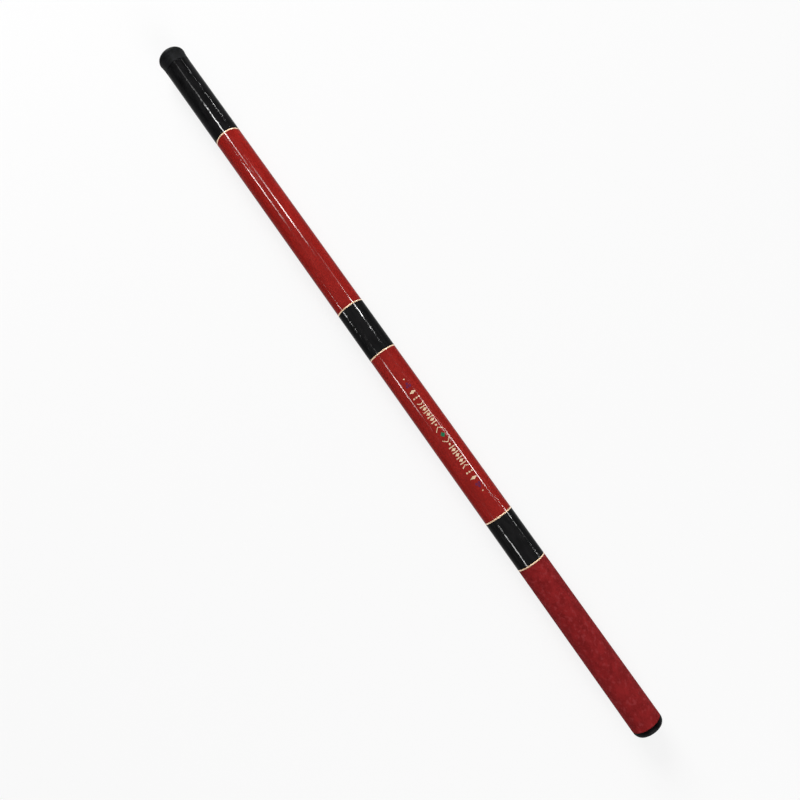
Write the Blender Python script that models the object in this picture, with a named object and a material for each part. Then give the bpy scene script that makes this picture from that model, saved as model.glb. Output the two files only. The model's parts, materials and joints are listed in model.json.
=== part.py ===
"""A telescopic fishing pole, closed: seven sections nested in a tapered handle, a screw cap and a front plug.

Metres, +Z up. The pole lies along X with its tip towards +X. The origin is the centre of the butt cap's
end face.
"""
import math

import bmesh
import bpy

# Round pieces share one number of flats, with a flat facing down, so nested tubes keep an even gap.
# Every radius here is measured to the flats.
SIDES = 32
SMALL_SIDES = 16
CORD_POINTS = 10

# Gaps between pieces
SEAT_GAP = 0.0003        # where pieces meet end to end
BOND_GAP = 0.00005       # glue line under a sleeve, wrap, ring or insert
LOCK_GAP = 0.00003       # left between two sections that are drawn out tight
TURN_GAP = 0.00012       # round a piece that turns in a bore
NEST_GAP = 0.0008        # round and ahead of what is packed inside the front plug

# Every taper here is how much a radius grows over this length
TAPER_RUN = 1.0

# Handle section
HANDLE_LENGTH = 0.6735
HANDLE_WALL = 0.0011
HANDLE_TAPER = 0.00212   # growth of radius over one taper run, towards the butt

# Wraps, rings and grip along the handle, from the butt forward
GRIP_LENGTH = 0.1522
REAR_WRAP_LENGTH = 0.0440
REAR_PANEL_LENGTH = 0.1630
MIDDLE_WRAP_LENGTH = 0.0462
FRONT_WRAP_LENGTH = 0.0781
RING_WIDTH = 0.0012
SEAT_DEPTH = 0.00030     # turned into the blank under each of them
WRAP_PROUD = 0.00010
RING_PROUD = 0.00016
GRIP_PROUD = 0.00005
GRIP_EDGE = 0.00020      # chamfer at the grip's ends

# Inner sections: the second one, and how each section beyond it differs
SECTION_COUNT = 8
MOUTH_RELIEF = 0.0050    # from the plug's stem back to the second section's mouth
SECTION_STEP = 0.0020    # each mouth stands this far past the one outside it
SECOND_WALL = 0.00080
WALL_STEP = 0.00005
SECOND_TAPER = 0.00153
TAPER_STEP = 0.00010
SECOND_LAP = 0.085       # length that stays inside the section before it when drawn out
LAP_STEP = 0.005
SPIGOT_CHAMFER = 0.00030

# Binding at each inner section's mouth
MOUTH_WRAP_LENGTH = 0.032
MOUTH_WRAP_STEP = 0.0025
MOUTH_WRAP_THICKNESS = 0.00022

# Solid tip section
TIP_RADIUS = 0.00045
TIP_TAPER = 0.00240

# Ferrule and line eye at the tip
FERRULE_GRIP = 0.0070    # length bonded over the tip
FERRULE_RADIUS = 0.00105
FERRULE_FRONT_WALL = 0.0008
FERRULE_EDGE = 0.00025
EYE_SHANK_RADIUS = 0.00035
EYE_HEAD_RADIUS = 0.00060
EYE_HEAD_LENGTH = 0.00060
EYE_END_PLAY = 0.00010
EYE_SHANK_REACH = 0.0016  # from the ferrule's front to the loop's centre
EYE_LOOP_RADIUS = 0.00125
EYE_WIRE_RADIUS = 0.00030

# Front plug
PLUG_STEM_LENGTH = 0.0220
PLUG_STEM_RELIEF = 0.00035   # stem between the ribs, below the bore
PLUG_RIBS = 3
PLUG_RIB_WIDTH = 0.0026
PLUG_RIB_EDGE = 0.0005
PLUG_HEAD_LENGTH = 0.0104    # from the mouth to the widest rim
PLUG_SHOULDER_PROUD = 0.00010
PLUG_FLARE = 0.00066         # how much the rim is wider than the shoulder
PLUG_FLARE_CURVE = 3.4       # power of the flare's curve
PLUG_DOME = 0.0059           # from the rim's plane to the middle of the domed end
PLUG_DOME_FULLNESS = 2.2
PLUG_FLARE_POINTS = 7
PLUG_DOME_POINTS = 10

# Butt cap, its collar, seal and pad
CAP_HEAD = 0.0055
CAP_EDGE_LENGTH = 0.0043     # the head's rounded edge, along the pole
CAP_EDGE_DROP = 0.0031       # and across it
CAP_EDGE_FULLNESS = 1.75
CAP_EDGE_POINTS = 8
SPIGOT_LENGTH = 0.0100
SPIGOT_EDGE = 0.0006
COLLAR_LENGTH = 0.0110
COLLAR_WALL = 0.00075
COLLAR_LEAD = 0.00025
SEAL_CORD = 0.00120
SEAL_PLACE = 0.00070         # from the cap's head to the seal's groove
SEAL_SIDE_GAP = 0.00010
PAD_RADIUS_GAP = 0.00070     # the pad clears the collar's thread
PAD_THICKNESS = 0.0020
PAD_STEM_RADIUS = 0.0055
PAD_STEM_LENGTH = 0.0045
SLOT_WIDTH = 0.0020
SLOT_DEPTH = 0.0014
SLOT_LENGTH = 0.0160

# Colour, roughness and metallic value of each finish
FINISHES = {
    "red_lacquer": ((0.31, 0.016, 0.012), 0.18, 0.0),
    "black_lacquer": ((0.012, 0.012, 0.013), 0.16, 0.0),
    "gold": ((0.86, 0.60, 0.34), 0.30, 1.0),
    "grip_red": ((0.27, 0.022, 0.022), 0.75, 0.0),
    "black_plastic": ((0.018, 0.018, 0.020), 0.50, 0.0),
    "black_rubber": ((0.022, 0.022, 0.028), 0.80, 0.0),
    "pad_rubber": ((0.040, 0.040, 0.042), 0.90, 0.0),
    "section_grey": ((0.055, 0.058, 0.065), 0.25, 0.0),
    "steel": ((0.62, 0.62, 0.62), 0.25, 1.0),
}

# Where the pieces lie along X
HANDLE_BUTT = CAP_HEAD + SEAT_GAP
HANDLE_MOUTH = HANDLE_BUTT + HANDLE_LENGTH
HANDLE_SLOPE = HANDLE_TAPER / TAPER_RUN
SPIGOT_END = CAP_HEAD + SPIGOT_LENGTH
PAD_BACK = SPIGOT_END + BOND_GAP
NEST_BUTT = PAD_BACK + PAD_THICKNESS + SEAT_GAP
PLUG_SHOULDER = HANDLE_MOUTH + SEAT_GAP
PLUG_STEM_END = PLUG_SHOULDER - PLUG_STEM_LENGTH


class Section:
    """A tapered section: a spigot that locks in the one before it, then one taper to the mouth."""

    def __init__(self, number, radius_at_mouth, wall):
        later = number - 2
        self.number = number
        self.butt = NEST_BUTT
        self.mouth = PLUG_STEM_END - MOUTH_RELIEF + later * SECTION_STEP
        self.wall = wall
        self.lap_end = self.butt + SECOND_LAP - later * LAP_STEP
        self.slope = (SECOND_TAPER - later * TAPER_STEP if wall else TIP_TAPER) / TAPER_RUN
        self.mouth_radius = radius_at_mouth
        self.lock_radius = radius_at_mouth + self.slope * (self.mouth - self.lap_end)
        self.spigot_slope = self.slope

    def outside(self, x):
        if x > self.lap_end:
            return self.lock_radius - self.slope * (x - self.lap_end)
        return self.lock_radius + self.spigot_slope * (self.lap_end - x)

    def bore(self, x):
        return self.mouth_radius - self.wall + self.slope * (self.mouth - x)

    def wrap_radius(self):
        return self.mouth_radius + BOND_GAP + MOUTH_WRAP_THICKNESS


def size_sections():
    """Size every section from the tip outward: each bore is made to fit the spigot of the one inside it."""
    sections = {SECTION_COUNT: Section(SECTION_COUNT, TIP_RADIUS, 0.0)}
    for number in range(SECTION_COUNT - 1, 1, -1):
        inner = sections[number + 1]
        wall = SECOND_WALL - (number - 2) * WALL_STEP
        sections[number] = Section(number, inner.lock_radius + LOCK_GAP + wall, wall)
        inner.spigot_slope = sections[number].slope
    sections[2].spigot_slope = HANDLE_SLOPE
    return sections


SECTIONS = size_sections()
HANDLE_BORE_AT_MOUTH = SECTIONS[2].lock_radius + LOCK_GAP


def handle_bore(x):
    return HANDLE_BORE_AT_MOUTH + HANDLE_SLOPE * (HANDLE_MOUTH - x)


def handle_outside(x):
    return handle_bore(x) + HANDLE_WALL


# The collar fits the handle's bore, and the cap fits the collar
COLLAR_RADIUS = handle_bore(HANDLE_BUTT + COLLAR_LENGTH) - BOND_GAP
COLLAR_BORE = COLLAR_RADIUS - COLLAR_WALL
SPIGOT_RADIUS = COLLAR_BORE - TURN_GAP
SEAL_CENTRE_RADIUS = COLLAR_BORE - BOND_GAP - SEAL_CORD / 2


def make_material(name):
    colour, roughness, metallic = FINISHES[name]
    material = bpy.data.materials.new(name)
    material.use_nodes = True
    shader = material.node_tree.nodes["Principled BSDF"]
    shader.inputs["Base Color"].default_value = (*colour, 1.0)
    shader.inputs["Roughness"].default_value = roughness
    shader.inputs["Metallic"].default_value = metallic
    return material


def turn(profile, sides=SIDES, closed=True):
    """Turn a profile of (x, radius) points about the X axis into a bmesh, with a flat facing down."""
    mesh = bmesh.new()
    step = 2 * math.pi / sides
    to_corner = 1 / math.cos(step / 2)
    start = step / 2
    points = []
    for x, radius in profile:
        corner = radius * to_corner
        points.append(mesh.verts.new((x, corner * math.sin(start), corner * math.cos(start))))
    pairs = list(zip(points, points[1:]))
    if closed:
        pairs.append((points[-1], points[0]))
    edges = [mesh.edges.new(pair) for pair in pairs]
    bmesh.ops.spin(mesh, geom=points + edges, cent=(0, 0, 0), axis=(1, 0, 0), angle=2 * math.pi,
                   steps=sides, use_merge=True)
    bmesh.ops.remove_doubles(mesh, verts=mesh.verts, dist=1e-7)
    bmesh.ops.recalc_face_normals(mesh, faces=mesh.faces)
    return mesh


def place(name, mesh, finish, parent, at_x=0.0):
    """Make an object of a bmesh, with its origin on the pole's axis at at_x."""
    bmesh.ops.translate(mesh, verts=mesh.verts, vec=(-at_x, 0, 0))
    data = bpy.data.meshes.new(name)
    mesh.to_mesh(data)
    mesh.free()
    data.shade_smooth()
    data.set_sharp_from_angle(angle=math.radians(30))
    data.materials.append(MATERIALS[finish])
    piece = bpy.data.objects.new(name, data)
    bpy.context.collection.objects.link(piece)
    if parent:
        piece.parent = parent
        at_x -= parent["axis_x"]
    piece.location = (at_x, 0, 0)
    return piece


def make_pivot(name, x, parent=None):
    """An empty on the axis that carries the pieces of one moving group."""
    pivot = bpy.data.objects.new(name, None)
    pivot["axis_x"] = x
    bpy.context.collection.objects.link(pivot)
    if parent:
        pivot.parent = parent
        x -= parent["axis_x"]
    pivot.location = (x, 0, 0)
    return pivot


def sleeve_profile(back, front, inside, outside, edge=0.0):
    """A sleeve between two radius functions of x, with an optional chamfer at its outer edges."""
    outer = [(back, outside(back) - edge), (back + edge, outside(back + edge)),
             (front - edge, outside(front - edge)), (front, outside(front) - edge)]
    if edge == 0.0:
        outer = [outer[0], outer[-1]]
    return [(back, inside(back))] + outer + [(front, inside(front))]


def arc(centre_x, centre_radius, radius, start, end, count):
    """Points on an arc in the profile's plane; angles in degrees from +X towards larger radius."""
    points = []
    for index in range(count):
        angle = math.radians(start + (end - start) * index / (count - 1))
        points.append((centre_x + radius * math.cos(angle), centre_radius + radius * math.sin(angle)))
    return points


def rounded_end(rim_x, rim, face_x, face, fullness, count):
    """Points from a rim to an end face on a quarter of a super-ellipse; a fullness of 2 gives an ellipse."""
    points = []
    for index in range(count):
        angle = math.pi / 2 * index / (count - 1)
        points.append((rim_x + (face_x - rim_x) * math.sin(angle) ** (2 / fullness),
                       face + (rim - face) * math.cos(angle) ** (2 / fullness)))
    return points


def trim_layout():
    """Back and front of each piece round the handle, and the seats that they share in the blank."""
    grip = (HANDLE_BUTT, HANDLE_BUTT + GRIP_LENGTH)
    ring_5 = (grip[1], grip[1] + RING_WIDTH)
    rear_wrap = (ring_5[1], ring_5[1] + REAR_WRAP_LENGTH)
    ring_4 = (rear_wrap[1], rear_wrap[1] + RING_WIDTH)
    ring_3_back = ring_4[1] + REAR_PANEL_LENGTH
    ring_3 = (ring_3_back, ring_3_back + RING_WIDTH)
    middle_wrap = (ring_3[1], ring_3[1] + MIDDLE_WRAP_LENGTH)
    ring_2 = (middle_wrap[1], middle_wrap[1] + RING_WIDTH)
    front_wrap = (HANDLE_MOUTH - FRONT_WRAP_LENGTH, HANDLE_MOUTH)
    ring_1 = (front_wrap[0] - RING_WIDTH, front_wrap[0])
    rings = {1: ring_1, 2: ring_2, 3: ring_3, 4: ring_4, 5: ring_5}
    wraps = {"front_wrap": front_wrap, "middle_wrap": middle_wrap, "rear_wrap": rear_wrap}
    seats = [(grip[0], ring_4[1]), (ring_3[0], ring_2[1]), (ring_1[0], front_wrap[1])]
    return grip, rings, wraps, seats


def seat_radius(x):
    return handle_outside(x) - SEAT_DEPTH


def build_handle(root):
    grip, rings, wraps, seats = trim_layout()

    outer = []
    for back, front in seats:
        if back > HANDLE_BUTT:
            outer.append((back, handle_outside(back)))
        outer.append((back, seat_radius(back)))
        outer.append((front, seat_radius(front)))
        if front < HANDLE_MOUTH:
            outer.append((front, handle_outside(front)))
    inner = [(HANDLE_MOUTH, handle_bore(HANDLE_MOUTH)), (HANDLE_BUTT, handle_bore(HANDLE_BUTT))]
    place("handle_blank", turn(outer + inner), "red_lacquer", root)

    def under(x):
        return seat_radius(x) + BOND_GAP

    half = BOND_GAP / 2
    place("grip_sleeve",
          turn(sleeve_profile(grip[0], grip[1] - half, under, lambda x: handle_outside(x) + GRIP_PROUD,
                              GRIP_EDGE)), "grip_red", root)
    for name, (back, front) in wraps.items():
        front_gap = 0.0 if front == HANDLE_MOUTH else half
        place(name, turn(sleeve_profile(back + half, front - front_gap, under,
                                        lambda x: handle_outside(x) + WRAP_PROUD)), "black_lacquer", root)
    for number, (back, front) in rings.items():
        edge = (RING_WIDTH - BOND_GAP) / 4
        place(f"trim_ring_{number}",
              turn(sleeve_profile(back + half, front - half, under,
                                  lambda x: handle_outside(x) + RING_PROUD, min(edge, RING_PROUD))),
              "gold", root)


def build_collar(root):
    front = HANDLE_BUTT + COLLAR_LENGTH
    profile = [(HANDLE_BUTT, COLLAR_RADIUS), (front, COLLAR_RADIUS), (front, COLLAR_BORE),
               (HANDLE_BUTT + COLLAR_LEAD, COLLAR_BORE), (HANDLE_BUTT, COLLAR_BORE + COLLAR_LEAD)]
    place("butt_collar", turn(profile), "black_plastic", root)


def build_cap(root):
    travel = make_pivot("cap_travel_axis", 0.0, root)
    turning = make_pivot("cap_turn_axis", 0.0, travel)

    seal_x = CAP_HEAD + SEAL_PLACE + SEAL_CORD / 2
    seal = arc(seal_x, SEAL_CENTRE_RADIUS, SEAL_CORD / 2, 0, 360 * (1 - 1 / CORD_POINTS), CORD_POINTS)
    place("cap_o_ring", turn(seal), "black_rubber", travel)

    head_radius = handle_outside(HANDLE_BUTT)
    groove_back = CAP_HEAD + SEAL_PLACE - SEAL_SIDE_GAP
    groove_front = groove_back + SEAL_CORD + 2 * SEAL_SIDE_GAP
    groove_floor = SEAL_CENTRE_RADIUS - SEAL_CORD / 2 - TURN_GAP
    pocket_back = SPIGOT_END - PAD_STEM_LENGTH
    edge = rounded_end(CAP_EDGE_LENGTH, head_radius, 0.0, head_radius - CAP_EDGE_DROP, CAP_EDGE_FULLNESS,
                       CAP_EDGE_POINTS)
    profile = [(0.0, 0.0)] + edge[::-1] + [
        (CAP_HEAD, head_radius),
        (CAP_HEAD, SPIGOT_RADIUS),
        (groove_back, SPIGOT_RADIUS),
        (groove_back, groove_floor),
        (groove_front, groove_floor),
        (groove_front, SPIGOT_RADIUS),
        (SPIGOT_END - SPIGOT_EDGE, SPIGOT_RADIUS),
        (SPIGOT_END, SPIGOT_RADIUS - SPIGOT_EDGE),
        (SPIGOT_END, PAD_STEM_RADIUS),
        (pocket_back, PAD_STEM_RADIUS),
        (pocket_back, 0.0),
    ]
    cap = place("butt_cap", turn(profile, closed=False), "black_plastic", turning)

    slot = bmesh.new()
    bmesh.ops.create_cube(slot, size=1.0)
    bmesh.ops.scale(slot, verts=slot.verts, vec=(2 * SLOT_DEPTH, SLOT_WIDTH, SLOT_LENGTH))
    cutter = place("coin_slot_cutter", slot, "black_plastic", turning)
    cutter.hide_render = True
    cutter.display_type = "WIRE"
    cut = cap.modifiers.new("coin slot", "BOOLEAN")
    cut.operation = "DIFFERENCE"
    cut.object = cutter

    pad_radius = COLLAR_BORE - PAD_RADIUS_GAP
    pad = [(pocket_back + BOND_GAP, 0.0), (pocket_back + BOND_GAP, PAD_STEM_RADIUS - BOND_GAP),
           (PAD_BACK, PAD_STEM_RADIUS - BOND_GAP), (PAD_BACK, pad_radius),
           (PAD_BACK + PAD_THICKNESS, pad_radius), (PAD_BACK + PAD_THICKNESS, 0.0)]
    place("cushion_pad", turn(pad, closed=False), "pad_rubber", turning)


def build_inner_sections(root):
    """Sections 2 to 8, each carried by the one before it. Returns the tip section's pivot."""
    pivot = root
    for number in range(2, SECTION_COUNT + 1):
        section = SECTIONS[number]
        pivot = make_pivot(f"section_{number}_axis", section.butt, pivot)
        chamfer = min(SPIGOT_CHAMFER, (section.wall or section.mouth_radius) / 2)
        outer = [(section.butt, section.outside(section.butt) - chamfer),
                 (section.butt + chamfer, section.outside(section.butt + chamfer)),
                 (section.lap_end, section.lock_radius),
                 (section.mouth, section.mouth_radius)]
        if number == SECTION_COUNT:
            profile = [(section.butt, 0.0)] + outer + [(section.mouth, 0.0)]
            place(f"section_{number}", turn(profile, closed=False), "section_grey", pivot, section.butt)
            continue
        inner = [(section.mouth, section.bore(section.mouth)), (section.butt, section.bore(section.butt))]
        place(f"section_{number}", turn(outer + inner), "section_grey", pivot, section.butt)

        wrap_back = section.mouth - MOUTH_WRAP_LENGTH + (number - 2) * MOUTH_WRAP_STEP
        wrap = sleeve_profile(wrap_back, section.mouth, lambda x: section.outside(x) + BOND_GAP,
                              lambda x: section.outside(x) + BOND_GAP + MOUTH_WRAP_THICKNESS)
        place(f"mouth_wrap_{number}", turn(wrap), "black_lacquer", pivot, wrap_back)
    return pivot


def tip_layout():
    """Places along X of the ferrule and the line eye."""
    tip = SECTIONS[SECTION_COUNT].mouth
    chamber_back = tip + SEAT_GAP
    chamber_front = chamber_back + EYE_HEAD_LENGTH + 2 * EYE_END_PLAY
    ferrule_front = chamber_front + FERRULE_FRONT_WALL
    loop_centre = ferrule_front + EYE_SHANK_REACH
    eye_front = loop_centre + EYE_LOOP_RADIUS + EYE_WIRE_RADIUS
    return tip, chamber_back, chamber_front, ferrule_front, loop_centre, eye_front


def build_tip(pivot):
    tip, chamber_back, chamber_front, ferrule_front, loop_centre, _ = tip_layout()
    tip_section = SECTIONS[SECTION_COUNT]
    back = tip - FERRULE_GRIP
    seat_bore = tip_section.outside(back) + BOND_GAP
    chamber = EYE_HEAD_RADIUS + TURN_GAP
    hole = EYE_SHANK_RADIUS + TURN_GAP
    profile = [(back, FERRULE_RADIUS - FERRULE_EDGE), (back + FERRULE_EDGE, FERRULE_RADIUS),
               (ferrule_front - FERRULE_EDGE, FERRULE_RADIUS),
               (ferrule_front, FERRULE_RADIUS - FERRULE_EDGE),
               (ferrule_front, hole), (chamber_front, hole), (chamber_front, chamber),
               (chamber_back, chamber), (chamber_back, seat_bore), (back, seat_bore)]
    place("tip_ferrule", turn(profile, SMALL_SIDES), "steel", pivot, back)

    swivel = make_pivot("line_eye_axis", ferrule_front, pivot)
    head_back = chamber_back + EYE_END_PLAY
    head_front = head_back + EYE_HEAD_LENGTH
    shank_end = loop_centre - EYE_LOOP_RADIUS
    shank = [(head_back, 0.0), (head_back, EYE_HEAD_RADIUS), (head_front, EYE_HEAD_RADIUS),
             (head_front, EYE_SHANK_RADIUS), (shank_end, EYE_SHANK_RADIUS), (shank_end, 0.0)]
    eye = place("line_eye", turn(shank, SMALL_SIDES, closed=False), "steel", swivel, ferrule_front)

    wire = arc(0.0, EYE_LOOP_RADIUS, EYE_WIRE_RADIUS, 0, 360 * (1 - 1 / CORD_POINTS), CORD_POINTS)
    loop_mesh = turn(wire, SMALL_SIDES)
    turned = [(vert, vert.co.copy()) for vert in loop_mesh.verts]
    for vert, place_was in turned:
        vert.co = (place_was.y + loop_centre, place_was.x, place_was.z)
    bmesh.ops.recalc_face_normals(loop_mesh, faces=loop_mesh.faces)
    loop = place("line_eye_loop", loop_mesh, "steel", swivel, ferrule_front)
    loop.hide_render = True
    loop.display_type = "WIRE"
    join = eye.modifiers.new("loop", "BOOLEAN")
    join.operation = "UNION"
    join.object = loop


def plug_pocket_radius():
    """The pocket in the plug's stem clears the widest section that reaches into it."""
    reach = PLUG_STEM_END - NEST_GAP
    radii = [section.wrap_radius() for section in SECTIONS.values() if section.mouth > reach]
    return max(radii) + NEST_GAP


def build_plug(pivot):
    plug_pivot = make_pivot("front_plug_axis", PLUG_SHOULDER, pivot)
    eye_front = tip_layout()[-1]
    pocket = plug_pocket_radius()
    pocket_end = eye_front + NEST_GAP
    full = HANDLE_BORE_AT_MOUTH - LOCK_GAP
    low = full - PLUG_STEM_RELIEF
    pitch = PLUG_STEM_LENGTH / (PLUG_RIBS + 1)

    stem = [(PLUG_STEM_END, pocket), (PLUG_STEM_END, low)]
    for rib in range(1, PLUG_RIBS + 1):
        middle = PLUG_STEM_END + rib * pitch
        half = PLUG_RIB_WIDTH / 2
        stem += [(middle - half, low), (middle - half + PLUG_RIB_EDGE, full),
                 (middle + half - PLUG_RIB_EDGE, full), (middle + half, low)]
    stem.append((PLUG_SHOULDER, low))

    shoulder = handle_outside(HANDLE_MOUTH) + PLUG_SHOULDER_PROUD
    rim = shoulder + PLUG_FLARE
    rim_x = PLUG_SHOULDER + PLUG_HEAD_LENGTH
    head = []
    for index in range(PLUG_FLARE_POINTS):
        share = index / (PLUG_FLARE_POINTS - 1)
        head.append((PLUG_SHOULDER + share * PLUG_HEAD_LENGTH,
                     shoulder + PLUG_FLARE * share ** PLUG_FLARE_CURVE))
    dome = rounded_end(rim_x, rim, rim_x + PLUG_DOME, 0.0, PLUG_DOME_FULLNESS, PLUG_DOME_POINTS)
    head += dome[1:-1] + [(rim_x + PLUG_DOME, 0.0)]
    profile = [(pocket_end, 0.0), (pocket_end, pocket)] + stem + head
    place("front_plug", turn(profile, closed=False), "black_rubber", plug_pivot, PLUG_SHOULDER)


for old in list(bpy.data.objects):
    bpy.data.objects.remove(old)
MATERIALS = {name: make_material(name) for name in FINISHES}
rod = make_pivot("rod", 0.0)
build_handle(rod)
build_collar(rod)
build_cap(rod)
tip_pivot = build_inner_sections(rod)
build_tip(tip_pivot)
build_plug(tip_pivot)
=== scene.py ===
"""The closed telescopic pole dressed for its picture: lacquer, binding, trim rings, grip, cap and plug.

Metres, in the frame of the solids: the pole's axis is X, its tip is towards +X and +Z is up.
"""
import json
import math

import bmesh
import bpy
from mathutils import Matrix, Vector, noise


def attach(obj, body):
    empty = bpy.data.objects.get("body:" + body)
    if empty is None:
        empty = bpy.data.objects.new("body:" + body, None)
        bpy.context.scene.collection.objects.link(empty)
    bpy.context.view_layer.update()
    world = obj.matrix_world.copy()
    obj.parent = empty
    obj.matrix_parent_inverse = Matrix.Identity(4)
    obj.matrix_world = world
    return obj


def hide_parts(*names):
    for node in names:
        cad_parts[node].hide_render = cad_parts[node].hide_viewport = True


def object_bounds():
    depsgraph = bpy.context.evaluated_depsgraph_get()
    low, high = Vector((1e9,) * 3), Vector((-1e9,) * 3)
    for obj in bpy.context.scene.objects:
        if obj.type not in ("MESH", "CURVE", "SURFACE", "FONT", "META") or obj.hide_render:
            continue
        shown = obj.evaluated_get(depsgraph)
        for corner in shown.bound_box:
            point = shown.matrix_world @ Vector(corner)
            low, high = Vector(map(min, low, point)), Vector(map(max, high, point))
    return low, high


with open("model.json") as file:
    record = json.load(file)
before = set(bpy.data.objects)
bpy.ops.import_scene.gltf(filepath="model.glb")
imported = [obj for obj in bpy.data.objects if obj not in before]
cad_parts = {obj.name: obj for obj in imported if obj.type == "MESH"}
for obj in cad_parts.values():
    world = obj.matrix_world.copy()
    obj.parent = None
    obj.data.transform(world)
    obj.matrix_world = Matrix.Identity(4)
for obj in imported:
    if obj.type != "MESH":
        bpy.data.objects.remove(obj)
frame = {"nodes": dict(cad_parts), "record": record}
CAD_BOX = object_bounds()

# Camera, fitted to the trim rings and the outline
CAMERA_PLACE = Vector((0.2726, 0.0, 0.5905))
CAMERA_LENS = 32.017            # mm on a 36 mm sensor
CAMERA_NEAR = 0.01
CAMERA_SPIN = math.radians(-125.414)
CAMERA_PITCH = -0.09306         # towards the tip
CAMERA_LEAN = 0.01809           # towards the pole's +Y side

# Strip lights over the pole, each with where its reflection starts and ends along the handle, how far off
# the middle it is seen as a share of the radius, and its radiance. They only show in gloss.
LIGHT_HEIGHT = 1.30
LIGHT_ANGLE = 0.105             # a lamp's width over its distance from the lacquer that mirrors it
STRIP_LIGHTS = {
    "strip_tip_faint": (0.684, 0.640, 0.000, 2.4),
    "strip_tip_start": (0.640, 0.625, 0.015, 8.0),
    "strip_tip": (0.625, 0.595, 0.025, 40.0),
    "strip_tip_end": (0.595, 0.572, 0.025, 11.0),
    "strip_tip_left_far": (0.6740, 0.6700, -0.530, 180.0),
    "strip_tip_left": (0.6345, 0.6265, -0.545, 420.0),
    "strip_front_left": (0.558, 0.530, -0.190, 9.5),
    "strip_front_left_bright": (0.530, 0.4995, -0.192, 34.0),
    "strip_front_left_end": (0.4995, 0.484, -0.192, 10.0),
    "strip_front_right": (0.5655, 0.537, 0.206, 36.0),
    "strip_front_right_end": (0.537, 0.510, 0.206, 9.0),
    "strip_band_left_faint": (0.470, 0.423, -0.385, 1.9),
    "strip_band_left": (0.4195, 0.4045, -0.370, 58.0),
    "strip_band_left_end": (0.4045, 0.389, -0.372, 3.5),
    "strip_band_right": (0.4255, 0.411, 0.549, 35.0),
    "strip_rear_right": (0.361, 0.343, 0.290, 9.0),
    "strip_rear_right_bright": (0.343, 0.332, 0.290, 38.0),
    "strip_rear_right_end": (0.332, 0.310, 0.290, 8.0),
    "strip_rear_left": (0.321, 0.286, -0.330, 11.0),
    "strip_rear_left_bright": (0.284, 0.232, -0.430, 28.0),
    "strip_butt_left": (0.2090, 0.2015, -0.580, 80.0),
    "strip_butt_left_faint": (0.195, 0.168, -0.605, 1.2),
    "strip_butt_left_end": (0.1635, 0.158, -0.605, 60.0),
    "strip_butt_right": (0.1930, 0.158, 0.360, 14.0),
}
# Soft boxes past both ends, where nothing on the handle mirrors them to the camera: along X from the
# pole's middle, to its side, and radiance
SOFT_BOX_SIZE = 1.3
SOFT_BOXES = {"soft_box_butt": (-2.15, 0.0, 7.2), "soft_box_tip": (2.15, -0.37, 14.6)}
SOFT_BOX_HEIGHT = 1.00

# Surroundings
CEILING_LEVEL = 0.12            # what the world gives from above
HORIZON_LEVEL = 0.32
MIRRORED_HORIZON_LEVEL = 0.90   # what gloss shows of the pale backdrop
HORIZON_TOP = 0.05              # from here up the horizon turns into the ceiling, where 1 is overhead
CEILING_EDGE = 0.40
FLOOR_SIZE = 14.0
FLOOR_GAP = 0.0002
FLOOR_COLOUR = (0.86, 0.86, 0.86)
FLOOR_GLOW = 0.82               # share of plain white in what is seen of the floor

# Gloss and lacquer
GLOSS_FALL = (0.10, 0.26)       # how far a surface has turned away where its gloss starts and ends its fall
MIX_COLOURS = (6, 7, 2)         # sockets of a Mix node: both colours in, and the colour out
WAVE_SIZE = 0.0048
RIPPLE_SIZE = 0.0015
PAINTED_RELIEF = (0.000014, 0.0000028)      # heights of the waves and ripples in red lacquer and print
BOUND_RELIEF = (0.00013, 0.00003)           # over binding
SECTION_RELIEF = (0.00002, 0.000004)

# Meshes
SIDES = 128
BAND_SIDES = 96
SMALL_SIDES = 64
TINY_SIDES = 32
SHARP_ANGLE = math.radians(35)
FLATS = 32                      # sides of the solids, whose radii are taken to their flats
SMALL_FLATS = 16
PLACE_DIGITS = 6                # the corners of a solid are read to a micrometre
SAME_RADIUS = 0.000005          # and those no further apart than this are one ring
TOUCHING = 1e-6                 # how close a point of a profile lies to the surface that it is on
ON_AXIS = 1e-9                  # a radius below this makes a single point

# Rounded edges
ARC_STEPS = 4
ROUNDING_REACH = 0.45           # share of a side that the rounding of one of its ends may take
LONG_SIDE = 5                   # roundings in a side that gets a point close to its rounded end
GUARD_POINT = 2                 # roundings from the corner to that point
HAIR_EDGE = 0.00005
FINE_EDGE = 0.0001
EDGE = 0.0002
SOFT_EDGE = 0.0003

# Bake maps
MAP_MARGIN = 0.005              # left free at both ends of the map
SLICE_MARGIN = 0.02             # share of a slice's width left free at both of its sides
SLICE_SLACK = 1.001             # a slice may be this many times its even share of the length

# Handle's tube, binding, rings and grip
TUBE_STEP = 0.008               # longest face along the tube
SEAT_EDGE = 0.00006             # on the shallow steps under wraps, rings and grip
LACQUER_DEPTH = 0.00065         # how far out from the bore the handle's tube is bare
THREAD_PITCH = 0.0006
THREAD_HEIGHT = 0.000001
BINDING_STEP = THREAD_PITCH / 4
MOUTH_WRAP_EDGE = 0.00008
RING_EDGE = 0.00016
GRIP_EDGE = 0.00015
GRIP_STEP = 0.00025
GRIP_RELIEF = 0.00004
PIT_SIZE = 0.0012
PIT_FINENESS = 2.3              # how much smaller the fine pits are
PIT_SHARE = 0.35
FINE_PIT_SHARE = 0.15

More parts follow.
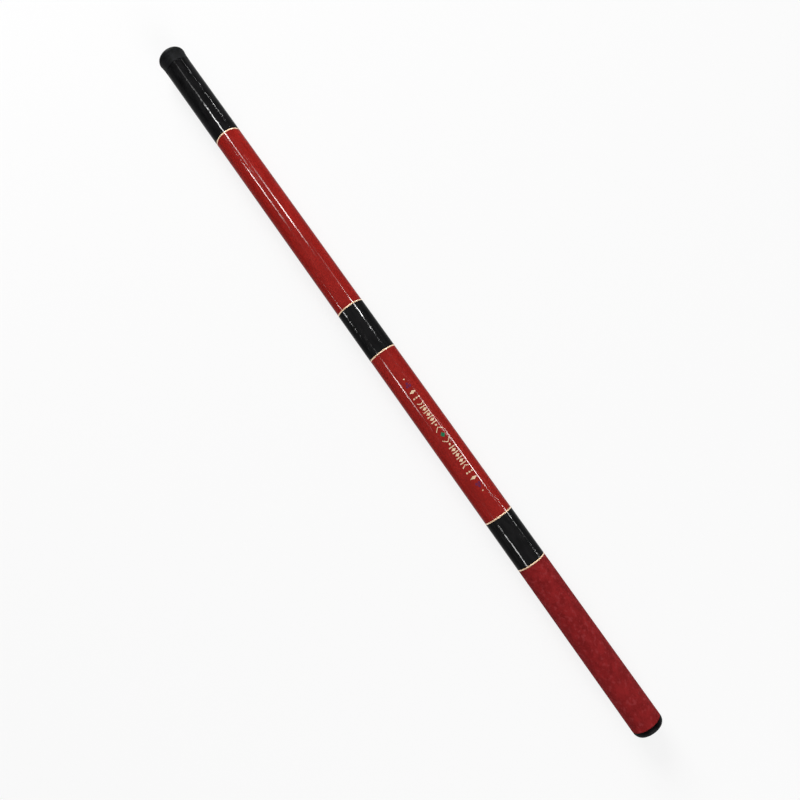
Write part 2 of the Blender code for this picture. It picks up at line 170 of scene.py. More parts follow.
# Butt cap, from its face forward
CAP_HEAD = 0.0055
CAP_EDGE_LENGTH = 0.0043
CAP_EDGE_DROP = 0.0031
CAP_EDGE_FULLNESS = 1.75
CAP_EDGE_POINTS = 18
GROOVE = (0.0061, 0.0075)
GROOVE_FLOOR = 0.009709
SPIGOT_END = 0.0155
SPIGOT_RADIUS = 0.01094
SPIGOT_CHAMFER = 0.0006
POCKET_BACK = 0.0110
POCKET_RADIUS = 0.0055
FACE_LOOPS = (0.33, 0.66)       # shares of the way from the cap's rounded edge to its slot
SLOT_WIDTH = 0.0019
SLOT_LENGTH = 0.0159
SLOT_DEPTH = 0.0014
SLOT_EDGE = 0.00018
SLOT_EDGE_STEPS = 4

# Collar, seal and pad
COLLAR_BACK = CAP_HEAD + 0.0003
COLLAR_END = 0.0168
COLLAR_BORE = 0.01106
COLLAR_RADIUS = 0.01182
COLLAR_CHAMFER = 0.00025
SEAL_CORD_RADIUS = 0.0006
SEAL_CORD_SIDES = 20
SEAL_GAP = 0.00003
PAD_RADIUS = 0.01037
PAD_STEM_RADIUS = POCKET_RADIUS - 0.00005
PAD_EDGE = 0.0005

# Screw thread of the cap and its collar, right-handed
SCREW_PITCH = 0.0015
SCREW_START = 0.0082            # clear of the seal's groove
SCREW_LEAD = 0.0012             # over which a thread rises from nothing
SCREW_FLANK = 0.22              # a share of the pitch, like the two halves
CAP_CREST_HALF = 0.10
COLLAR_ROOT_HALF = 0.17
CAP_SCREW_END = SPIGOT_END - 0.0005
COLLAR_SCREW_END = COLLAR_END - 0.0003
CAP_ROOT = 0.01040
COLLAR_CREST = 0.01050
SCREW_STEP = 0.00012

# Inner sections
TIP_SECTION = 8
FIRST_SLENDER_SECTION = 5       # from here on they have fewer sides
SECTION_EDGE = 0.00012
SECTION_STEP = 0.010

# Front plug
PLUG_STEM_END = 0.6576
PLUG_STEM_EDGE = 0.0004
PLUG_SHOULDER = 0.6796
PLUG_FULL = 0.010444
PLUG_LOW = 0.010094
PLUG_RIBS = 3
PLUG_RIB_HALF = 0.0013
PLUG_RIB_EDGE = 0.0005
PLUG_POCKET = (0.67045, 0.006085)
PLUG_SHOULDER_RADIUS = 0.011674
PLUG_SHOULDER_EDGE = 0.00015
PLUG_HEAD_LENGTH = 0.0104
PLUG_HEAD_STEPS = 14
PLUG_FLARE = 0.00066
PLUG_FLARE_CURVE = 3.4
PLUG_DOME = 0.0059
PLUG_DOME_FULLNESS = 2.2
PLUG_DOME_POINTS = 28

# Line eye
EYE_LOOP_CENTRE = 0.6681
EYE_LOOP_RADIUS = 0.00125
EYE_LOOP_STEPS = 48
EYE_WIRE_RADIUS = 0.0003
EYE_WIRE_SIDES = 16
EYE_NECK = 0.0003               # how far before the loop's wire the shank starts to narrow
EYE_OVERLAP = 0.00005           # how far past the middle of that wire it reaches
EYE_TAPER = 0.9

# Printed ornament on the rear red panel
ORNAMENT_CENTRE = 0.2835        # along the pole
ORNAMENT_ANGLE = math.radians(-8)
ORNAMENT_LIFT = 0.00002
ORNAMENT_SINK = 0.00003
MM_IN_METRE = 1000
MOTIF_ROW = 0.25                # mm
MOTIF_LEAST_ROWS = 4            # in half of a shape
MOTIF_POINT = 0.04              # mm, half the width that a tip keeps
ARROW_WIDTH = 0.8               # mm
BAR_PITCH = 5.2                 # mm

RECORD = frame["record"]
BODY_OF = {node: body for body, nodes in RECORD["behaviour"]["bodies"].items() for node in nodes}
POLE_MIDDLE = (CAD_BOX[0][0] + CAD_BOX[1][0]) / 2
POLE_RADIUS = (CAD_BOX[1][2] - CAD_BOX[0][2]) / 2


def add_node(tree, kind, inputs=(), **settings):
    """Add a shader node. Each of its inputs gets a value, or a link from the socket given for it."""
    node = tree.nodes.new("ShaderNode" + kind)
    for name, value in settings.items():
        setattr(node, name, value)
    for key, value in dict(inputs).items():
        if isinstance(value, bpy.types.NodeSocket):
            tree.links.new(value, node.inputs[key])
        else:
            node.inputs[key].default_value = value
    return node


class Finish:
    """A material with one Principled shader, and helpers for the nodes of its pattern."""

    def __init__(self, name, **values):
        self.material = bpy.data.materials.new(name)
        self.material.use_nodes = True
        self.tree = self.material.node_tree
        self.shader = self.tree.nodes["Principled BSDF"]
        self.place = self.add("TexCoord").outputs["Object"]
        for socket, value in values.items():
            self.shader.inputs[socket.replace("_", " ").title().replace("Ior", "IOR")].default_value = value

    def add(self, kind, inputs=(), **settings):
        return add_node(self.tree, kind, inputs, **settings)

    def noise(self, size, stretch=1.0, detail=3.0, rough=0.5):
        """Cloudy noise with spots of about this size, drawn out along the pole by stretch."""
        scaled = self.add("Mapping", {"Vector": self.place, "Scale": (1 / stretch, 1, 1)})
        return self.add("TexNoise", {"Vector": scaled.outputs[0], "Scale": 1 / size, "Detail": detail,
                                     "Roughness": rough}).outputs["Fac"]

    def between(self, value, low, high, to_low=0.0, to_high=1.0):
        """A pattern's values from low to high, spread over a new range."""
        return self.add("MapRange", {"Value": value, "From Min": low, "From Max": high,
                                     "To Min": to_low, "To Max": to_high}).outputs[0]

    def part(self, value, share):
        """A pattern made fainter, to this share of itself."""
        return self.add("Math", {0: value, 1: share}, operation="MULTIPLY").outputs[0]

    def mix(self, share, first, second):
        """A blend of two colours, each a colour or a socket."""
        first, second = ((*c, 1.0) if isinstance(c, tuple) else c for c in (first, second))
        first_in, second_in, out = MIX_COLOURS
        return self.add("Mix", {0: share, first_in: first, second_in: second}, data_type="RGBA").outputs[out]

    def feed(self, name, socket):
        self.tree.links.new(socket, self.shader.inputs[name])

    def bump(self, *layers):
        """Stack height layers, each a socket and its height in metres."""
        normal = None
        for height, distance in layers:
            inputs = {"Height": height, "Distance": distance, "Strength": 1.0}
            if normal:
                inputs["Normal"] = normal
            normal = self.add("Bump", inputs).outputs[0]
        for socket in ("Normal", "Coat Normal"):
            self.feed(socket, normal)

    def gloss(self, middle, edge):
        """Let the gloss fall from the middle towards the outline."""
        facing = self.add("LayerWeight", {"Blend": 0.5}).outputs["Facing"]
        self.feed("Specular IOR Level", self.between(facing, *GLOSS_FALL, middle, edge))


def lacquer(name, roughness, relief):
    """Clear gloss over whatever colour the caller feeds in, laid by hand, with waves and ripples."""
    finish = Finish(name, ior=1.5)
    finish.gloss(middle=0.5, edge=0.018)
    cloud = finish.noise(0.0036, stretch=1.5, detail=2.0)
    finish.feed("Roughness", finish.between(cloud, 0.36, 0.64, roughness - 0.03, roughness + 0.03))
    waves, ripples = relief
    finish.bump((finish.noise(WAVE_SIZE, stretch=1.6, detail=1.0), waves),
                (finish.noise(RIPPLE_SIZE, stretch=1.4, detail=1.0), ripples))
    return finish


def make_red_lacquer():
    """Clouded red with fine darker flecks."""
    finish = lacquer("red_lacquer", 0.09, PAINTED_RELIEF)
    cloud = finish.between(finish.noise(0.006, stretch=4.0), 0.35, 0.65)
    fleck = finish.between(finish.noise(0.0007, stretch=2.5, detail=2.0), 0.42, 0.62)
    base = finish.mix(cloud, (0.290, 0.0125, 0.0090), (0.370, 0.0185, 0.0135))
    finish.feed("Base Color", finish.mix(fleck, base, (0.250, 0.0105, 0.0085)))
    return finish.material


def make_black_lacquer():
    """Black over binding, wavier than the red."""
    finish = lacquer("black_lacquer", 0.08, BOUND_RELIEF)
    cloud = finish.between(finish.noise(0.004, stretch=3.0), 0.35, 0.65)
    finish.feed("Base Color", finish.mix(cloud, (0.0045, 0.0045, 0.0048), (0.009, 0.009, 0.0095)))
    return finish.material


def make_gold():
    """Pale gold, slightly worn, under a clear coat."""
    finish = Finish("gold", metallic=0.35, roughness=0.36, coat_weight=0.6, coat_roughness=0.12)
    worn = finish.between(finish.noise(0.0012), 0.40, 0.66)
    finish.feed("Base Color", finish.mix(worn, (0.98, 0.71, 0.48), (0.87, 0.57, 0.34)))
    finish.bump((finish.noise(0.0009, detail=2.0), 0.000012))
    return finish.material


def make_grip():
    """Matt dark red in three scales: broad clouds, pale spots and a fine grain."""
    finish = Finish("grip_coat", ior=1.45, specular_ior_level=0.10)
    cloud = finish.between(finish.noise(0.0060, stretch=1.5, detail=4.0, rough=0.6), 0.36, 0.66)
    grain = finish.between(finish.noise(0.0008, stretch=1.3, rough=0.6), 0.33, 0.68)
    spots = finish.between(finish.noise(0.0030, stretch=1.1, detail=1.0), 0.54, 0.70)
    base = finish.mix(cloud, (0.160, 0.0035, 0.0042), (0.262, 0.0105, 0.0118))
    base = finish.mix(finish.part(grain, 0.35), base, (0.310, 0.026, 0.028))
    finish.feed("Base Color", finish.mix(finish.part(spots, 0.42), base, (0.330, 0.040, 0.045)))
    finish.feed("Roughness", finish.between(grain, 0, 1, 0.72, 0.90))
    finish.bump((finish.noise(0.0010, rough=0.6), 0.00008))
    return finish.material


def make_plastic(name, dark, light, roughness, gloss):
    """Moulded black plastic or rubber, faintly mottled."""
    finish = Finish(name, ior=1.48, specular_ior_level=gloss)
    cloud = finish.between(finish.noise(0.003), 0.35, 0.68)
    finish.feed("Base Color", finish.mix(cloud, dark, light))
    worn = finish.noise(0.0012)
    finish.feed("Roughness", finish.between(worn, 0.3, 0.7, roughness - 0.08, roughness + 0.08))
    finish.bump((finish.noise(0.0006), 0.00003), (finish.noise(0.006, detail=1.0), 0.00006))
    return finish.material


def make_section_lacquer():
    """Dark grey gloss over fibres that run along the section."""
    finish = lacquer("section_lacquer", 0.14, SECTION_RELIEF)
    cloud = finish.between(finish.noise(0.005, stretch=5.0), 0.35, 0.65)
    fibre = finish.between(finish.noise(0.0006, stretch=30.0, detail=2.0), 0.40, 0.62)
    base = finish.mix(cloud, (0.032, 0.034, 0.039), (0.060, 0.063, 0.070))
    finish.feed("Base Color", finish.mix(finish.part(fibre, 0.5), base, (0.020, 0.021, 0.025)))
    return finish.material


def make_bare_fibre():
    """The tube's unpainted inside, with its fibres along the pole."""
    finish = Finish("bare_fibre", ior=1.5, specular_ior_level=0.25)
    cloud = finish.between(finish.noise(0.006, stretch=3.0), 0.35, 0.65)
    fibre = finish.noise(0.0005, stretch=25.0, detail=2.0)
    base = finish.mix(cloud, (0.030, 0.026, 0.022), (0.052, 0.046, 0.038))
    finish.feed("Base Color", finish.mix(finish.between(fibre, 0.45, 0.65), base, (0.075, 0.068, 0.055)))
    finish.feed("Roughness", finish.between(fibre, 0.3, 0.7, 0.45, 0.62))
    finish.bump((fibre, 0.00002))
    return finish.material


def make_steel():
    """Steel with fine brush marks along the pole."""
    finish = Finish("steel", metallic=1.0)
    marks = finish.noise(0.0004, stretch=6.0)
    finish.feed("Base Color", finish.mix(marks, (0.50, 0.50, 0.51), (0.68, 0.68, 0.67)))
    finish.feed("Roughness", finish.between(finish.noise(0.0003, stretch=8.0), 0.3, 0.7, 0.18, 0.32))
    return finish.material


def make_print(name, dark, light):
    """Printed ink under the lacquer."""
    finish = lacquer(name, 0.10, PAINTED_RELIEF)
    finish.feed("Base Color", finish.mix(finish.between(finish.noise(0.0009), 0.38, 0.62), dark, light))
    return finish.material


class Rings:
    """The rings of corners of one turned solid, read from the frame, with radii to its flats."""

    def __init__(self, node, flats=FLATS):
        found = {}
        for vertex in frame["nodes"][node].data.vertices:
            radius = math.hypot(vertex.co.y, vertex.co.z) * math.cos(math.pi / flats)
            found.setdefault(round(vertex.co.x, PLACE_DIGITS), set()).add(round(radius, PLACE_DIGITS))
        self.places = sorted(found)
        self.radii = {}
        for x in self.places:
            radii = sorted(found[x])
            self.radii[x] = [radius for radius, inner in zip(radii, [0] + radii)
                             if radius - inner > SAME_RADIUS]
        self.outer = [(x, self.radii[x][-1]) for x in self.places]
        self.back, self.front = self.places[0], self.places[-1]

    def outside(self, x):
        """The outer radius at x."""
        for (x0, r0), (x1, r1) in zip(self.outer, self.outer[1:]):
            if x <= x1:
                return r0 + (r1 - r0) * (x - x0) / (x1 - x0)
        return self.outer[-1][1]

    def bore(self):
        """The front and back ends of the bore, in the order that closes a profile."""
        return [(self.front, self.radii[self.front][0]), (self.back, self.radii[self.back][0])]


def rounded(points, closed=True):
    """Round the corners of a profile of (x, radius, rounding) points with short curves.

    A long side gets a point close to each of its curves, which keeps the shading flat up to there.
    """
    out = []
    last = len(points) - 1
    for index, point in enumerate(points):
        x, radius, size = (*point, 0)[:3]
        if not size or (not closed and index in (0, last)):
            out.append((x, radius))
            continue
        corner = Vector((x, radius))
        back = Vector(points[index - 1][:2]) - corner
        ahead = Vector(points[(index + 1) % len(points)][:2]) - corner
        size = min(size, ROUNDING_REACH * back.length, ROUNDING_REACH * ahead.length)
        start, end = corner + back.normalized() * size, corner + ahead.normalized() * size
        curve = [start.lerp(corner, share).lerp(corner.lerp(end, share), share)
                 for share in (step / ARC_STEPS for step in range(ARC_STEPS + 1))]
        if back.length > LONG_SIDE * size:
            curve.insert(0, corner + back.normalized() * GUARD_POINT * size)
        if ahead.length > LONG_SIDE * size:
            curve.append(corner + ahead.normalized() * GUARD_POINT * size)
        out += [tuple(point) for point in curve]
    return out


def filled(profile, step, low=-math.inf, high=math.inf, closed=True):
    """Add points to a profile's long sides, at most a step apart, where x lies between low and high."""
    out = []
    for (x0, r0), (x1, r1) in zip(profile, profile[1:] + profile[:1] * closed):
        out.append((x0, r0))
        if abs(x1 - x0) > step and low <= min(x0, x1) and max(x0, x1) <= high:
            count = math.ceil(abs(x1 - x0) / step)
            out += [(x0 + (x1 - x0) * k / count, r0 + (r1 - r0) * k / count) for k in range(1, count)]
    return out if closed else out + profile[-1:]


def rounded_end(rim_x, rim, face_x, face, fullness, count):
    """Points from a rim to an end face on a quarter of a super-ellipse; a fullness of 2 gives an ellipse."""
    points = []
    for index in range(count):
        angle = math.pi / 2 * index / (count - 1)
        points.append((rim_x + (face_x - rim_x) * math.sin(angle) ** (2 / fullness),
                       face + (rim - face) * max(0.0, math.cos(angle)) ** (2 / fullness)))
    return points


def sleeve(node, rounding):
    """A sleeve's profile with its outer edges rounded."""
    rings = Rings(node)
    front, back = rings.bore()
    return rounded([back] + [(*point, rounding) for point in rings.outer] + [front])


def join_loops(mesh, first, second):
    """Faces between two loops of corners, either of which may be a single point."""
    count = max(len(first), len(second))
    faces = []
    for side in range(count):
        after = (side + 1) % count
        corners = [first[side % len(first)], first[after % len(first)],
                   second[after % len(second)], second[side % len(second)]]
        faces.append(mesh.faces.new(list(dict.fromkeys(corners))))
    return faces


def lay_out(mesh, rows, bands, profile):
    """Give a turned mesh its bake map: the profile's length, cut into slices that lie side by side."""
    lengths = [math.dist(start, end) for start, end in zip(profile, profile[1:] + profile[:1])][:len(bands)]
    around = 2 * math.pi * max(radius for _, radius in profile)
    slice_length = sum(lengths) / max(1, round(math.sqrt(sum(lengths) / around)))
    starts = []
    number, run = 0, 0.0
    for length in lengths:
        if run and run + length > SLICE_SLACK * slice_length:
            number, run = number + 1, 0.0
        starts.append((number, run))
        run += length
    widest = max(run + length for (_, run), length in zip(starts, lengths))
    slices = starts[-1][0] + 1
    layer = mesh.loops.layers.uv.new("OFBake")
    where = {vert: (index, side) for index, row in enumerate(rows) for side, vert in enumerate(row)}
    for band, ((number, run), length, faces) in enumerate(zip(starts, lengths, bands)):
        for side, face in enumerate(faces):
            for loop in face.loops:
                index, turn = where[loop.vert]
                if len(rows[index]) == 1:
                    turn = side + 0.5
                elif turn == 0 and side == len(faces) - 1:
                    turn = len(faces)
                along = (run if index == band else run + length) / widest
                across = SLICE_MARGIN + (1 - 2 * SLICE_MARGIN) * turn / len(faces)
                loop[layer].uv = MAP_MARGIN + (1 - 2 * MAP_MARGIN) * along, (number + across) / slices


def turned(profile, sides=SIDES, closed=True, shape=None, mapped=True):
    """Turn a profile of (x, radius) points about the X axis. shape(x, radius, angle) may move each point."""
    mesh = bmesh.new()
    rows = []
    for x, radius in profile:
        if radius < ON_AXIS:
            rows.append([mesh.verts.new((x, 0, 0))])
            continue
        row = []
        for side in range(sides):
            angle = 2 * math.pi * side / sides
            at_x, at_radius = shape(x, radius, angle) if shape else (x, radius)
            row.append(mesh.verts.new((at_x, at_radius * math.cos(angle), at_radius * math.sin(angle))))
        rows.append(row)
    bands = [join_loops(mesh, first, second) for first, second in zip(rows, rows[1:] + rows[:1] * closed)]
    if mapped:
        lay_out(mesh, rows, bands, profile)
    return mesh


def make_piece(name, mesh, materials, body, replaced=()):
    """Make the object of a bmesh, put it on its body and hide the solids that it replaces."""
    bmesh.ops.recalc_face_normals(mesh, faces=mesh.faces)
    data = bpy.data.meshes.new(name)
    mesh.to_mesh(data)
    mesh.free()
    data.shade_smooth()
    data.set_sharp_from_angle(angle=SHARP_ANGLE)
    for material in materials:
        data.materials.append(material)
    piece = bpy.data.objects.new(name, data)
    bpy.context.scene.collection.objects.link(piece)
    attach(piece, body)
    if replaced:
        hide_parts(*replaced)


def dress(node, mesh, *materials):
    """Put a fine mesh in place of a solid, on its body."""
    make_piece(f"{node}_dressed", mesh, materials, BODY_OF[node], [node])


RED = make_red_lacquer()
BLACK = make_black_lacquer()
GOLD = make_gold()
GRIP = make_grip()
PLASTIC = make_plastic("black_plastic", (0.0016, 0.0016, 0.0018), (0.0044, 0.0044, 0.0050), 0.42, 0.03)
RUBBER = make_plastic("plug_rubber", (0.0018, 0.0023, 0.0022), (0.0056, 0.0060, 0.0080), 0.55, 0.06)
SEAL = make_plastic("seal_rubber", (0.012, 0.012, 0.013), (0.028, 0.028, 0.030), 0.72, 0.16)
SECTION = make_section_lacquer()
BARE_FIBRE = make_bare_fibre()
STEEL = make_steel()
INKS = {
    "cream": make_print("ink_cream", (0.72, 0.50, 0.31), (0.90, 0.70, 0.50)),
    "green": make_print("ink_green", (0.006, 0.120, 0.055), (0.015, 0.210, 0.100)),
    "violet": make_print("ink_violet", (0.115, 0.012, 0.050), (0.175, 0.026, 0.082)),
}


def dress_blank():
    """The handle's tube, with the shallow seats of its wraps, rings and grip."""
    blank = Rings("handle_blank")
    points = []
    for index, x in enumerate(blank.places):
        if x in (blank.back, blank.front):
            points.append((x, blank.radii[x][-1], EDGE))
            continue
        steps = blank.radii[x] if index % 2 else blank.radii[x][::-1]
        points += [(x, radius, SEAT_EDGE) for radius in steps]
    (front, front_bore), (back, back_bore) = blank.bore()
    points += [(front, front_bore, EDGE), (back, back_bore, EDGE)]
    mesh = turned(filled(rounded(points), TUBE_STEP))
    for face in mesh.faces:
        x, *across = face.calc_center_median()
        bore = back_bore + (front_bore - back_bore) * (x - back) / (front - back)
        face.material_index = int(math.hypot(*across) < bore + LACQUER_DEPTH)
    dress("handle_blank", mesh, RED, BARE_FIBRE)


def bound(x, radius, angle):
    """Fine ridges of binding thread under the lacquer, wound as a right-hand helix."""
    turn = x / THREAD_PITCH - angle / (2 * math.pi)
    return x, radius - THREAD_HEIGHT * (0.5 - 0.5 * math.cos(2 * math.pi * turn))


def dress_wrap(node, rounding, sides):
    """Black binding on a tube."""
    profile = filled(sleeve(node, rounding), BINDING_STEP, closed=False)
    dress(node, turned(profile, sides, shape=bound), BLACK)


def pitted(x, radius, angle):
    """The grip's coat: shallow uneven pits."""
    place = Vector((x, radius * math.cos(angle), radius * math.sin(angle))) / PIT_SIZE
    depth = 0.5 + PIT_SHARE * noise.noise(place) + FINE_PIT_SHARE * noise.noise(place * PIT_FINENESS)
    return x, radius - GRIP_RELIEF * max(0.0, min(1.0, depth))


def dress_handle():
    dress_blank()
    for node in ("front_wrap", "middle_wrap", "rear_wrap"):
        dress_wrap(node, FINE_EDGE, BAND_SIDES)
    for number in range(1, 6):
        node = f"trim_ring_{number}"
        dress(node, turned(sleeve(node, RING_EDGE)), GOLD)
    profile = filled(sleeve("grip_sleeve", GRIP_EDGE), GRIP_STEP, closed=False)
    dress("grip_sleeve", turned(profile, shape=pitted), GRIP)


def screw(surface, depth, outer_half, end):
    """A shape for turned: a screw thread in the surface of this radius, from SCREW_START to end.

    Its outer turns keep the radius and its inner turns lie a depth nearer the axis. outer_half is half of
    an outer turn's share of the pitch.
    """
    def shape(x, radius, angle):
        if not (SCREW_START < x < end and abs(radius - surface) < TOUCHING):
            return x, radius
        turn = x / SCREW_PITCH - angle / (2 * math.pi)
        off = abs(turn - math.floor(turn) - 0.5)
        height = max(0.0, min(1.0, (outer_half + SCREW_FLANK - off) / SCREW_FLANK))
        share = max(0.0, min(1.0, (x - SCREW_START) / SCREW_LEAD, (end - x) / SCREW_LEAD))
        return x, radius - depth * (1 - height) * share
    return shape


def slot_loop(mesh, x, grow):
    """A loop round the coin slot, which has round ends, at depth x and widened by grow."""
    straight = (SLOT_LENGTH - SLOT_WIDTH) / 2
    radius = SLOT_WIDTH / 2 + grow
    length = 4 * straight + 2 * math.pi * radius
    loop = []
    for side in range(SIDES):
        run = length * side / SIDES
        half = run % (length / 2)
        if half < straight:
            y, z = radius, half
        elif half < straight + math.pi * radius:
            turn = (half - straight) / radius
            y, z = radius * math.cos(turn), straight + radius * math.sin(turn)
        else:
            y, z = -radius, 2 * straight + math.pi * radius - half
        sign = 1 if run < length / 2 else -1
        loop.append(mesh.verts.new((x, sign * y, sign * z)))
    return loop


def close_face(mesh):
    """Close the cap's face, inside the first loop of its corners, with the coin slot."""
    mesh.verts.ensure_lookup_table()
    loops = [mesh.verts[:SIDES]]
    rim = slot_loop(mesh, 0.0, SLOT_EDGE)
    for share in FACE_LOOPS:
        loops.append([mesh.verts.new(a.co.lerp(b.co, share)) for a, b in zip(loops[0], rim)])
    loops.append(rim)
    for step in range(1, SLOT_EDGE_STEPS + 1):
        turn = step / SLOT_EDGE_STEPS * math.pi / 2
        loops.append(slot_loop(mesh, SLOT_EDGE * (1 - math.cos(turn)), SLOT_EDGE * (1 - math.sin(turn))))
    loops.append(slot_loop(mesh, SLOT_DEPTH - SLOT_EDGE, 0.0))
    loops.append(slot_loop(mesh, SLOT_DEPTH, -SLOT_EDGE))
    for first, second in zip(loops, loops[1:]):
        join_loops(mesh, first, second)
    mesh.faces.new(loops[-1])


def dress_cap():
    """The cap: a head with a rounded edge, and a spigot with a groove, a thread and a pocket for the pad."""
    head = Rings("butt_cap").outside(CAP_HEAD)
    edge = rounded_end(CAP_EDGE_LENGTH, head, 0.0, head - CAP_EDGE_DROP, CAP_EDGE_FULLNESS, CAP_EDGE_POINTS)
    edge.reverse()
    rest = [(*edge[-1], 0), (CAP_HEAD, head, FINE_EDGE), (CAP_HEAD, SPIGOT_RADIUS, 0),
            (GROOVE[0], SPIGOT_RADIUS, FINE_EDGE), (GROOVE[0], GROOVE_FLOOR, EDGE),
            (GROOVE[1], GROOVE_FLOOR, EDGE), (GROOVE[1], SPIGOT_RADIUS, FINE_EDGE),
            (SPIGOT_END - SPIGOT_CHAMFER, SPIGOT_RADIUS, 0),
            (SPIGOT_END, SPIGOT_RADIUS - SPIGOT_CHAMFER, EDGE),
            (SPIGOT_END, POCKET_RADIUS, EDGE), (POCKET_BACK, POCKET_RADIUS, 0), (POCKET_BACK, 0, 0)]
    profile = edge[:-1] + filled(rounded(rest, closed=False), SCREW_STEP, GROOVE[1], SPIGOT_END)
    thread = screw(SPIGOT_RADIUS, SPIGOT_RADIUS - CAP_ROOT, CAP_CREST_HALF, CAP_SCREW_END)
    mesh = turned(profile, closed=False, shape=thread, mapped=False)
    close_face(mesh)
    dress("butt_cap", mesh, PLASTIC)


def dress_collar():
    """The threaded collar. Its thread stands in from its bore."""
    profile = [(COLLAR_BACK, COLLAR_RADIUS, FINE_EDGE), (COLLAR_END, COLLAR_RADIUS, FINE_EDGE),
               (COLLAR_END, COLLAR_BORE, FINE_EDGE), (COLLAR_BACK + COLLAR_CHAMFER, COLLAR_BORE, 0),
               (COLLAR_BACK, COLLAR_BORE + COLLAR_CHAMFER, HAIR_EDGE)]
    thread = screw(COLLAR_BORE, COLLAR_BORE - COLLAR_CREST, COLLAR_ROOT_HALF, COLLAR_SCREW_END)
    dress("butt_collar", turned(filled(rounded(profile), SCREW_STEP), shape=thread), PLASTIC)


def dress_seal():
    """The O-ring in the cap's groove."""
    ring = Rings("cap_o_ring")
    x, radius = (ring.back + ring.front) / 2, COLLAR_BORE - SEAL_GAP - SEAL_CORD_RADIUS
    cord = []
    for side in range(SEAL_CORD_SIDES):
        angle = 2 * math.pi * side / SEAL_CORD_SIDES
        cord.append((x + SEAL_CORD_RADIUS * math.cos(angle), radius + SEAL_CORD_RADIUS * math.sin(angle)))
    dress("cap_o_ring", turned(cord), SEAL)


def dress_pad():
    """The cushion pad and its stem, which stands in the cap's pocket."""
    pad = Rings("cushion_pad")
    face = pad.places[1]
    profile = [(pad.back, 0, 0), (pad.back, PAD_STEM_RADIUS, EDGE), (face, PAD_STEM_RADIUS, 0),
               (face, PAD_RADIUS, SOFT_EDGE), (pad.front, PAD_RADIUS, PAD_EDGE), (pad.front, 0, 0)]
    dress("cushion_pad", turned(rounded(profile, closed=False), closed=False), SEAL)


def dress_sections():
    for number in range(2, TIP_SECTION + 1):
        node = f"section_{number}"
        rings = Rings(node)
        sides = BAND_SIDES if number < FIRST_SLENDER_SECTION else SMALL_SIDES
        outer = [(*point, SECTION_EDGE) for point in rings.outer]
        if number == TIP_SECTION:
            profile = [(rings.back, 0)] + outer + [(rings.front, 0)]
            dress(node, turned(rounded(profile, closed=False), sides, closed=False), SECTION)
            continue
        profile = rounded(outer + [(*end, SECTION_EDGE) for end in rings.bore()])
        dress(node, turned(filled(profile, SECTION_STEP), sides), SECTION)
        dress_wrap(f"mouth_wrap_{number}", MOUTH_WRAP_EDGE, SMALL_SIDES)


def dress_ferrule():
    """The ferrule, with its seat on the tip section, the chamber of the eye's head and the shank's hole."""
    ferrule = Rings("tip_ferrule", SMALL_FLATS)
    places, radii = ferrule.places, ferrule.radii
    back, front = ferrule.back, ferrule.front
    chamber_back, chamber_front = places[2], places[3]
    seat, chamber, hole = radii[back][0], radii[chamber_back][-1], radii[front][0]
    profile = [(x, radii[x][-1], FINE_EDGE) for x in (back, places[1], places[-2], front)]
    profile += [(front, hole), (chamber_front, hole), (chamber_front, chamber), (chamber_back, chamber),
                (chamber_back, seat), (back, seat)]
    dress("tip_ferrule", turned(rounded(profile), TINY_SIDES), STEEL)


def dress_eye():
    """The line eye: a headed shank and a loop of round wire."""
    eye = Rings("line_eye", SMALL_FLATS)
    head_back, head_front = eye.places[:2]
    head, shank = eye.radii[head_back][-1], eye.radii[head_front][0]
    wire = EYE_LOOP_CENTRE - EYE_LOOP_RADIUS
    profile = [(head_back, 0), (head_back, head, FINE_EDGE), (head_front, head, FINE_EDGE),
               (head_front, shank, HAIR_EDGE), (wire - EYE_NECK, shank, EDGE),
               (wire + EYE_OVERLAP, shank * EYE_TAPER, FINE_EDGE), (wire + EYE_OVERLAP, 0)]
    mesh = turned(rounded(profile, closed=False), TINY_SIDES, closed=False, mapped=False)
    rows = []
    for step in range(EYE_LOOP_STEPS):
        around = 2 * math.pi * step / EYE_LOOP_STEPS
        row = []
        for side in range(EYE_WIRE_SIDES):
            angle = 2 * math.pi * side / EYE_WIRE_SIDES
            reach = EYE_LOOP_RADIUS + EYE_WIRE_RADIUS * math.cos(angle)
            row.append(mesh.verts.new((EYE_LOOP_CENTRE + reach * math.cos(around),
                                       EYE_WIRE_RADIUS * math.sin(angle), reach * math.sin(around))))
        rows.append(row)
    for first, second in zip(rows, rows[1:] + rows[:1]):
        join_loops(mesh, first, second)
    dress("line_eye", mesh, STEEL)


